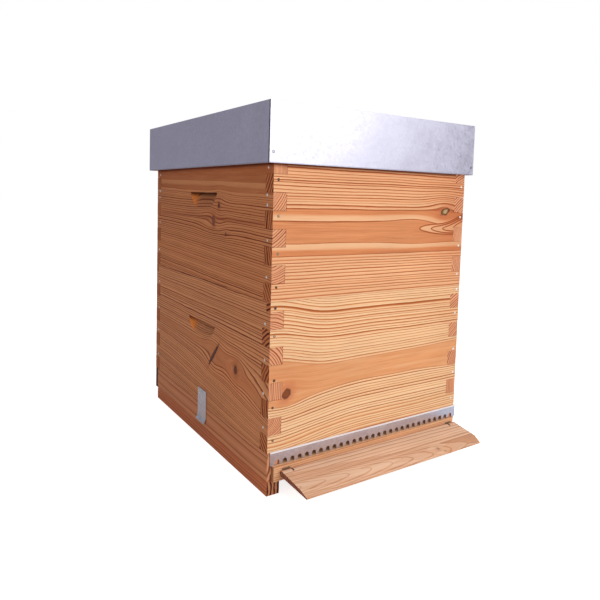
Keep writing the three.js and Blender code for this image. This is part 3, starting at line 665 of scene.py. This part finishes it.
# the back rail's wood is given the dark purple-brown of the shade it stands in: painted shade
BACK_RAIL_SHADED_W = wood("back_rail_wood_painted_shade", 0, 2, pith=(40.0, BY + 40.0), face=BY, pitch=5.0, seed=71.0, contrast=0.7,
             light=srgb(150, 104, 92), mid=srgb(122, 80, 70), dark=srgb(78, 48, 42))
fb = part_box("flight_board")
FLIGHTW = wood("flight_board_wood", 0, 1, pith=(-276.0, 38.0 - 60.0), face=38.0, pitch=7.0, edges=(9.0, 17.0), slope=-0.03, seed=77.0, wob=2.2,
               knots=[dict(at=(95.0, -292.0), r=(2.8, 2.6), swirl=(30.0, 14.0), pull=0.7, rim=0.25, core=(0.52, 0.31, 0.19), core2=(0.36, 0.20, 0.12), halo=4.0, halo_strength=0.35),
                      dict(at=(104.0, -301.0), r=(2.0, 1.8), swirl=(20.0, 10.0), pull=0.5, rim=0.15, core=(0.58, 0.37, 0.25), core2=(0.44, 0.27, 0.18), halo=3.0, halo_strength=0.25)],
               cathedral=[(165.0, -296.0, 3.8, 0.03, 44.0, -1.0, 0.6)], contrast=1.0, line=2.6,
               stains_and_shade=[(-150.0, -333.0, 60.0, 7.0, 0.9, (1.0, 0.74, 0.56)), (-40.0, -334.0, 70.0, 6.0, 0.7, (1.0, 0.80, 0.62)), (110.0, -300.0, 34.0, 14.0, 0.5, (1.0, 0.84, 0.70))],
               end_pitch=5.0, end_pith=(-300.0, 90.0), end_light=srgb(176, 108, 80), end_dark=srgb(92, 44, 34),
               light=srgb(238, 205, 175), mid=srgb(218, 168, 132), dark=srgb(160, 102, 70))
LIDRAILW = wood("lid_rail_wood", 0, 2, pith=(545.0, -400.0), face=-230.0, seed=83.0, light=FRONT_L, mid=FRONT_M, dark=FRONT_D)
LIDRAILW2 = wood("lid_side_rail_wood", 1, 2, pith=(540.0, -400.0), face=-220.0, seed=87.0, light=FRONT_L, mid=FRONT_M, dark=FRONT_D)
FRAMEX = wood("frame_bar_wood", 1, 0, pith=(8.0, 420.0), face=300.0, pitch=3.4, seed=91.0, contrast=0.6, wob=0.5,
              light=srgb(243, 214, 170), mid=srgb(230, 190, 140), dark=srgb(190, 142, 96))
FRAMEZ = wood("frame_side_wood", 2, 0, pith=(6.0, 330.0), face=250.0, pitch=3.4, seed=95.0, contrast=0.6, wob=0.5,
              light=srgb(243, 214, 170), mid=srgb(230, 190, 140), dark=srgb(190, 142, 96))
COVW = wood("cover_batten_wood", 0, 1, pith=(-240.0, 500.0), face=565.0, seed=99.0, light=FRONT_L, mid=FRONT_M, dark=FRONT_D)
COVW2 = wood("cover_batten_wood_side", 1, 0, pith=(-200.0, 500.0), face=565.0, seed=103.0, light=FRONT_L, mid=FRONT_M, dark=FRONT_D)
PLY = plywood("cover_board_ply", seed=2.0, z0=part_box("cover_board")[0].z * 1000, t=5.0)
PLY2 = plywood("ceiling_board_ply", seed=9.0, plies=7, z0=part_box("lid_ceiling_board")[0].z * 1000, t=12.0)
LIDM = galvanised("lid_galvanised", tint=(0.80, 0.80, 0.94), dark=(0.66, 0.66, 0.78), rough=0.41, spangle=4.5,
                  seam=[v * 1000 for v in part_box("lid_sheet")[0]],
                  dots=[(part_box("lid_sheet")[0].x * 1000 + 6.5, LIDZ + 16.5), (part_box("lid_sheet")[1].x * 1000 - 6.5, LIDZ + 14.0)])
STRIPM = galvanised("strip_galvanised", tint=(0.74, 0.77, 0.90), dark=(0.50, 0.53, 0.65), rough=0.34, spangle=5.0, seed=400.0, wave=0.2,
                    hem=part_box("entrance_strip")[1].z * 1000 - 2.6)
PLATEM = galvanised("plate_galvanised", tint=(0.78, 0.78, 0.82), dark=(0.52, 0.52, 0.57), rough=0.32, spangle=5.0, seed=900.0, wear=0.5, wave=0.25)
RESTM = galvanised("rest_galvanised", rough=0.3, spangle=6.0, seed=1300.0)
HINGEM = galvanised("hinge_steel", tint=(0.46, 0.36, 0.30), dark=(0.34, 0.24, 0.18), rough=0.5, spangle=3.0, seed=1700.0, wear=0.7)
NAILS = nail_metal("nail_steel")
WIRE = galvanised("wire_steel", tint=(0.7, 0.7, 0.7), dark=(0.5, 0.5, 0.5), rough=0.3, spangle=3.0, seed=2100.0)
WAX = wax("beeswax")
FOAM = foam("foam_board")

# ==================================================================== the body
for n, m in W.items():
    refine(n, m, bevel=0.6)
for n in ("left_side_rail",):
    refine(n, RAILW, bevel=1.0)
refine("right_side_rail", RAILW2, bevel=1.0)
for n in ("left_runner", "right_runner"):
    refine(n, RUNW, bevel=1.4, segments=3)
for n in ("front_sill_plank", "middle_floor_plank", "rear_floor_plank"):
    refine(n, FLOORW, bevel=0.9)
refine("back_rail", BACK_RAIL_SHADED_W, bevel=1.2)
refine("flight_board", FLIGHTW, bevel=0.8, angle=12)
for n in ("cover_front_batten", "cover_back_batten"):
    refine(n, COVW, bevel=0.8)
for n in ("cover_left_batten", "cover_right_batten"):
    refine(n, COVW2, bevel=0.8)
refine("cover_board", PLY, bevel=0.25, segments=1)
for n in ("lid_front_rail", "lid_back_rail"):
    refine(n, LIDRAILW, bevel=0.8)
for n in ("lid_left_rail", "lid_right_rail"):
    refine(n, LIDRAILW2, bevel=0.8)
refine("lid_ceiling_board", PLY2, bevel=0.3, segments=1)
refine("lid_insulation", FOAM, bevel=1.2)
for n in ("lower_front_frame_rest", "lower_back_frame_rest", "upper_front_frame_rest", "upper_back_frame_rest"):
    refine(n, RESTM, bevel=0.18, segments=2)
for n in ("left_locating_plate", "right_locating_plate"):
    refine(n, PLATEM, bevel=0.22, segments=2)
refine("entrance_strip", STRIPM, bevel=0.12, segments=1, angle=40)
for n in ("left_hinge_ear", "right_hinge_ear", "left_hinge_pin", "right_hinge_pin"):
    refine(n, HINGEM, bevel=0.15, segments=1, angle=40)

# --------------------------------------------------------------- lid sheet skin
lid = refine("lid_sheet", LIDM, bevel=0.35, segments=2)

# --------------------------------------------------------------------- nailing
SEEN_FRONT = {"upper": (526.0, 496.7, 441.3, 382.9, 331.3), "lower": (299.5, 255.2, 185.3, 141.8, 89.0)}
SEEN_SIDE = {"upper": (515.0, 473.4, 457.6, 403.2, 346.0), "lower": (272.6, 215.5, 161.5, 107.6)}


def corner_spots(which):
    spots = []
    for sx in (-1, 1):
        for sy in (-1, 1):
            wallx = LX if sx < 0 else RX
            wally = FY if sy < 0 else BY
            for z in SEEN_FRONT[which]:
                dz = 0.0 if (sx, sy) == (-1, -1) else rng.uniform(-4.0, 4.0)
                spots.append((Vector((wallx - sx * (rng.uniform(7.5, 10.5)), wally, z + dz)) * mm, (0, sy, 0)))
            for z in SEEN_SIDE[which]:
                dz = 0.0 if (sx, sy) == (-1, -1) else rng.uniform(-4.0, 4.0)
                spots.append((Vector((wallx, wally - sy * rng.uniform(14.5, 18.5), z + dz)) * mm, (sx, 0, 0)))
    return spots

nails("lower_box_nails", "lower_box", corner_spots("lower"), 1.0, proud=0.05)
nails("upper_box_nails", "upper_box", corner_spots("upper"), 1.0, proud=0.05)

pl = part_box("left_locating_plate")
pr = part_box("right_locating_plate")
top = pl[1].z * 1000
plate_spots = []
for (bx, sx) in ((pl, -1), (pr, 1)):
    x = (LX - 1.6) if sx < 0 else (RX + 1.6)
    y0 = bx[0].y * 1000
    y1 = bx[1].y * 1000
    for (fy, dz) in ((0.93, 6.0), (0.74, 9.2), (0.46, 8.4)):
        plate_spots.append((Vector((x, y0 + (y1 - y0) * fy - (2.0 if fy > 0.9 else 0.0), top - dz)) * mm, (sx, 0, 0)))
nails("locating_plate_nails", "lower_box", plate_spots, 0.9, proud=0.1)

lx0, lx1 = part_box("lid_sheet")
LZ0, LZ1 = lx0.z * 1000, lx1.z * 1000
lid_spots = []
inset = 0.1
for sx in (-1, 1):
    for sy in (-1, 1):
        yy = lx0.y * 1000 if sy < 0 else lx1.y * 1000
        xx = (lx0.x if sx < 0 else lx1.x) * 1000
        lid_spots.append((Vector((xx - sx * 6.5, yy - sy * inset, LZ0 + 16.5)) * mm, (0, sy, 0)))
    for fy in (0.2, 0.5, 0.8):
        yy = (lx0.y + (lx1.y - lx0.y) * fy) * 1000
        lid_spots.append((Vector((xx - sx * inset, yy, LZ0 + 14.0)) * mm, (sx, 0, 0)))
LID_NAIL_PROUD = -0.25
nails("lid_nails", "lid", lid_spots, 0.85, proud=LID_NAIL_PROUD)

# --------------------------------------------------------------- movable frames
def add_block(bm, x0, x1, y0, y1, z0, z1, e=0.7):
    """A bar with eased edges."""
    m = bmesh.new()
    bmesh.ops.create_cube(m, size=1.0)
    for v in m.verts:
        v.co = Vector((x0 + (v.co.x + 0.5) * (x1 - x0), y0 + (v.co.y + 0.5) * (y1 - y0), z0 + (v.co.z + 0.5) * (z1 - z0))) * mm
    bmesh.ops.bevel(m, geom=list(m.edges), offset=e * mm, offset_type="OFFSET", segments=2, profile=0.6, affect="EDGES", clamp_overlap=True)
    me = bpy.data.meshes.new("tmp")
    m.to_mesh(me)
    m.free()
    bm.from_mesh(me)
    bpy.data.meshes.remove(me)


def prism(bm, pts, y0, y1, e=0.7):
    """An outline in X,Z carried along Y with eased edges."""
    m = bmesh.new()
    a = [m.verts.new(Vector((x, y0, z)) * mm) for x, z in pts]
    b = [m.verts.new(Vector((x, y1, z)) * mm) for x, z in pts]
    m.faces.new(a)
    m.faces.new(list(reversed(b)))
    for i in range(len(pts)):
        j = (i + 1) % len(pts)
        m.faces.new((a[i], b[i], b[j], a[j]))
    bmesh.ops.recalc_face_normals(m, faces=m.faces)
    bmesh.ops.bevel(m, geom=list(m.edges), offset=e * mm, offset_type="OFFSET", segments=2, profile=0.6, affect="EDGES", clamp_overlap=True)
    me = bpy.data.meshes.new("tmp")
    m.to_mesh(me)
    m.free()
    bm.from_mesh(me)
    bpy.data.meshes.remove(me)


def hive_frame(node, sides, sheet):
    lo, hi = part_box(node)
    x = (lo.x + hi.x) * 500
    yc = (lo.y + hi.y) * 500
    zb = lo.z * 1000
    zt = hi.z * 1000
    yl = (hi.y - lo.y) * 500
    lugz = zt - 7.7
    sy = 223.0
    body = BODY_OF[node]
    bars = bmesh.new()
    # top bar: deep between the side bars, thin lugs beyond them
    add_block(bars, x - 13, x + 13, yc - sy + 9.2, yc + sy - 9.2, zt - 19.7, zt)
    add_block(bars, x - 11, x + 11, yc - yl, yc - sy + 9.4, lugz, zt - 0.05)
    add_block(bars, x - 11, x + 11, yc + sy - 9.4, yc + yl, lugz, zt - 0.05)
    add_block(bars, x - 10, x + 10, yc - sy + 9.2, yc + sy - 9.2, zb, zb + 9.5)
    o = piece(node + "_bars", bars, FRAMEX, body)
    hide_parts(node)
    zs = lugz - 0.15
    pts = [(x - 12, zb), (x + 12, zb), (x + 12, zb + 120.5), (x + 14.2, zb + 125), (x + 16.6, zb + 130), (x + 17.4, zb + 134), (x + 17.4, zs),
           (x - 17.4, zs), (x - 17.4, zb + 134), (x - 16.6, zb + 130), (x - 14.2, zb + 125), (x - 12, zb + 120.5)]
    prism(sides, pts, yc - sy, yc - sy + 9.0)
    prism(sides, pts, yc + sy - 9.0, yc + sy)
    # wax sheet, very slightly bowed
    ny, nz = 20, 10
    y0, y1, z0, z1 = yc - sy + 9.0, yc + sy - 9.0, zb + 9.0, zt - 19.5
    ph = rng.uniform(0, 6.28)
    grids = []
    for side in (-1, 1):
        g = []
        for i in range(ny + 1):
            row = []
            for j in range(nz + 1):
                s, t = i / ny, j / nz
                edge = math.sin(math.pi * s) * math.sin(math.pi * t)
                bow = 0.9 * edge * math.sin(ph + 5.0 * s + 3.0 * t)
                row.append(sheet.verts.new(Vector((x + side * 0.7 + bow, y0 + (y1 - y0) * s, z0 + (z1 - z0) * t)) * mm))
            g.append(row)
        grids.append(g)
        for i in range(ny):
            for j in range(nz):
                f = (g[i][j], g[i + 1][j], g[i + 1][j + 1], g[i][j + 1])
                sheet.faces.new(f if side > 0 else tuple(reversed(f)))
    A, B = grids
    for i in range(ny):
        sheet.faces.new((A[i][0], A[i + 1][0], B[i + 1][0], B[i][0]))
        sheet.faces.new((A[i + 1][nz], A[i][nz], B[i][nz], B[i + 1][nz]))
    for j in range(nz):
        sheet.faces.new((A[0][j + 1], A[0][j], B[0][j], B[0][j + 1]))
        sheet.faces.new((A[ny][j], A[ny][j + 1], B[ny][j + 1], B[ny][j]))


for b in ("lower", "upper"):
    side_bars = bmesh.new()
    wax_sheets = bmesh.new()
    for i in range(1, 11):
        hive_frame(f"{b}_frame_{i:02d}", side_bars, wax_sheets)
    bmesh.ops.recalc_face_normals(wax_sheets, faces=wax_sheets.faces)
    piece(b + "_frame_side_bars", side_bars, FRAMEZ, b + "_frames")
    piece(b + "_wax_sheets", wax_sheets, WAX, b + "_frames")

# ======================================================================= stage
bm = bmesh.new()
bmesh.ops.create_grid(bm, x_segments=2, y_segments=2, size=30.0)
me = bpy.data.meshes.new("floor")
bm.to_mesh(me)
bm.free()
floor = bpy.data.objects.new("floor", me)
floor.location = (0, 0, CAD_BOX[0][2] - 0.0002)
scene.collection.objects.link(floor)
T = Tree("studio_floor")
tc = T.node("ShaderNodeTexCoord")
fn = T.noise(tc.outputs["Object"], 3.0, 3.0)
fm = T.out(T.ramp(fn, [(0.2, (0.90, 0.90, 0.90)), (0.8, (0.93, 0.93, 0.93))]), fn * 0.1 + 0.8, Specular_IOR_Level=0.1)
flp = T.node("ShaderNodeLightPath")
T.bsdf.inputs["Emission Color"].default_value = (1.0, 1.0, 1.0, 1.0)
T.t.links.new(S(T, flp.outputs["Is Camera Ray"]).__mul__(0.80).s, T.bsdf.inputs["Emission Strength"])
me.materials.append(fm)

world = bpy.data.worlds.new("studio")
scene.world = world
world.use_nodes = True
nt = world.node_tree
for nd in list(nt.nodes):
    nt.nodes.remove(nd)
wo = nt.nodes.new("ShaderNodeOutputWorld")
bg = nt.nodes.new("ShaderNodeBackground")
bgc = nt.nodes.new("ShaderNodeBackground")
mixs = nt.nodes.new("ShaderNodeMixShader")
lp = nt.nodes.new("ShaderNodeLightPath")
bg.inputs[0].default_value = (0.93, 0.90, 1.0, 1)
bg.inputs[1].default_value = 0.30
bgc.inputs[0].default_value = (1, 1, 1, 1)
bgc.inputs[1].default_value = 1.0
nt.links.new(lp.outputs["Is Camera Ray"], mixs.inputs[0])
nt.links.new(bg.outputs[0], mixs.inputs[1])
nt.links.new(bgc.outputs[0], mixs.inputs[2])
nt.links.new(mixs.outputs[0], wo.inputs[0])


def area(name, loc, target, size, size_y, energy, colour=(1, 1, 1)):
    li = bpy.data.lights.new(name, "AREA")
    li.shape = "RECTANGLE"
    li.size, li.size_y = size, size_y
    li.energy = energy
    li.color = colour
    o = bpy.data.objects.new(name, li)
    scene.collection.objects.link(o)
    d = Vector(target) - Vector(loc)
    o.matrix_world = Matrix.Translation(loc) @ d.to_track_quat("-Z", "Y").to_matrix().to_4x4()
    return o


mid = Vector((0.0, CY * mm, 0.30))
area("key", mid + Vector((0.62, -2.19, 1.10)), mid + Vector((0, 0, 0.25)), 2.0, 1.9, 26.5, (1.0, 0.985, 0.965))
area("key_left", mid + Vector((-0.50, -2.3, 0.95)), mid + Vector((0, 0, 0.1)), 0.45, 1.5, 8.6, (1.0, 0.985, 0.965))
area("top", mid + Vector((0.3, -0.2, 2.4)), mid, 2.6, 2.6, 24.0, (1, 1, 1))
area("left_fill", mid + Vector((-2.6, 0.3, 0.8)), mid, 1.6, 1.6, 2.0, (1.0, 0.97, 0.95))

# ====================================================================== camera


def look(az, el, roll):
    a, e, r = math.radians(az), math.radians(el), math.radians(roll)
    back = Vector((math.sin(a) * math.cos(e), -math.cos(a) * math.cos(e), math.sin(e)))
    right = Vector((math.cos(a), math.sin(a), 0.0))
    up = back.cross(right)
    x = right * math.cos(r) + up * math.sin(r)
    y = -right * math.sin(r) + up * math.cos(r)
    return x, y, back


cam = bpy.data.cameras.new("camera")
cam.sensor_width = 36.0
cam.lens = 33.7952
cam.shift_x = 0.01335
cam.shift_y = -0.10544
cam.clip_start = 0.05
cam.clip_end = 60.0
co = bpy.data.objects.new("camera", cam)
scene.collection.objects.link(co)
x, y, z = look(-32.923, 4.183, 1.548)
loc = Vector((-650.673, CY - 986.336, 473.162)) * mm
co.matrix_world = Matrix(((x.x, y.x, z.x, loc.x), (x.y, y.y, z.y, loc.y), (x.z, y.z, z.z, loc.z), (0, 0, 0, 1)))
scene.camera = co
scene.view_settings.view_transform = "Standard"
scene.view_settings.look = "None"
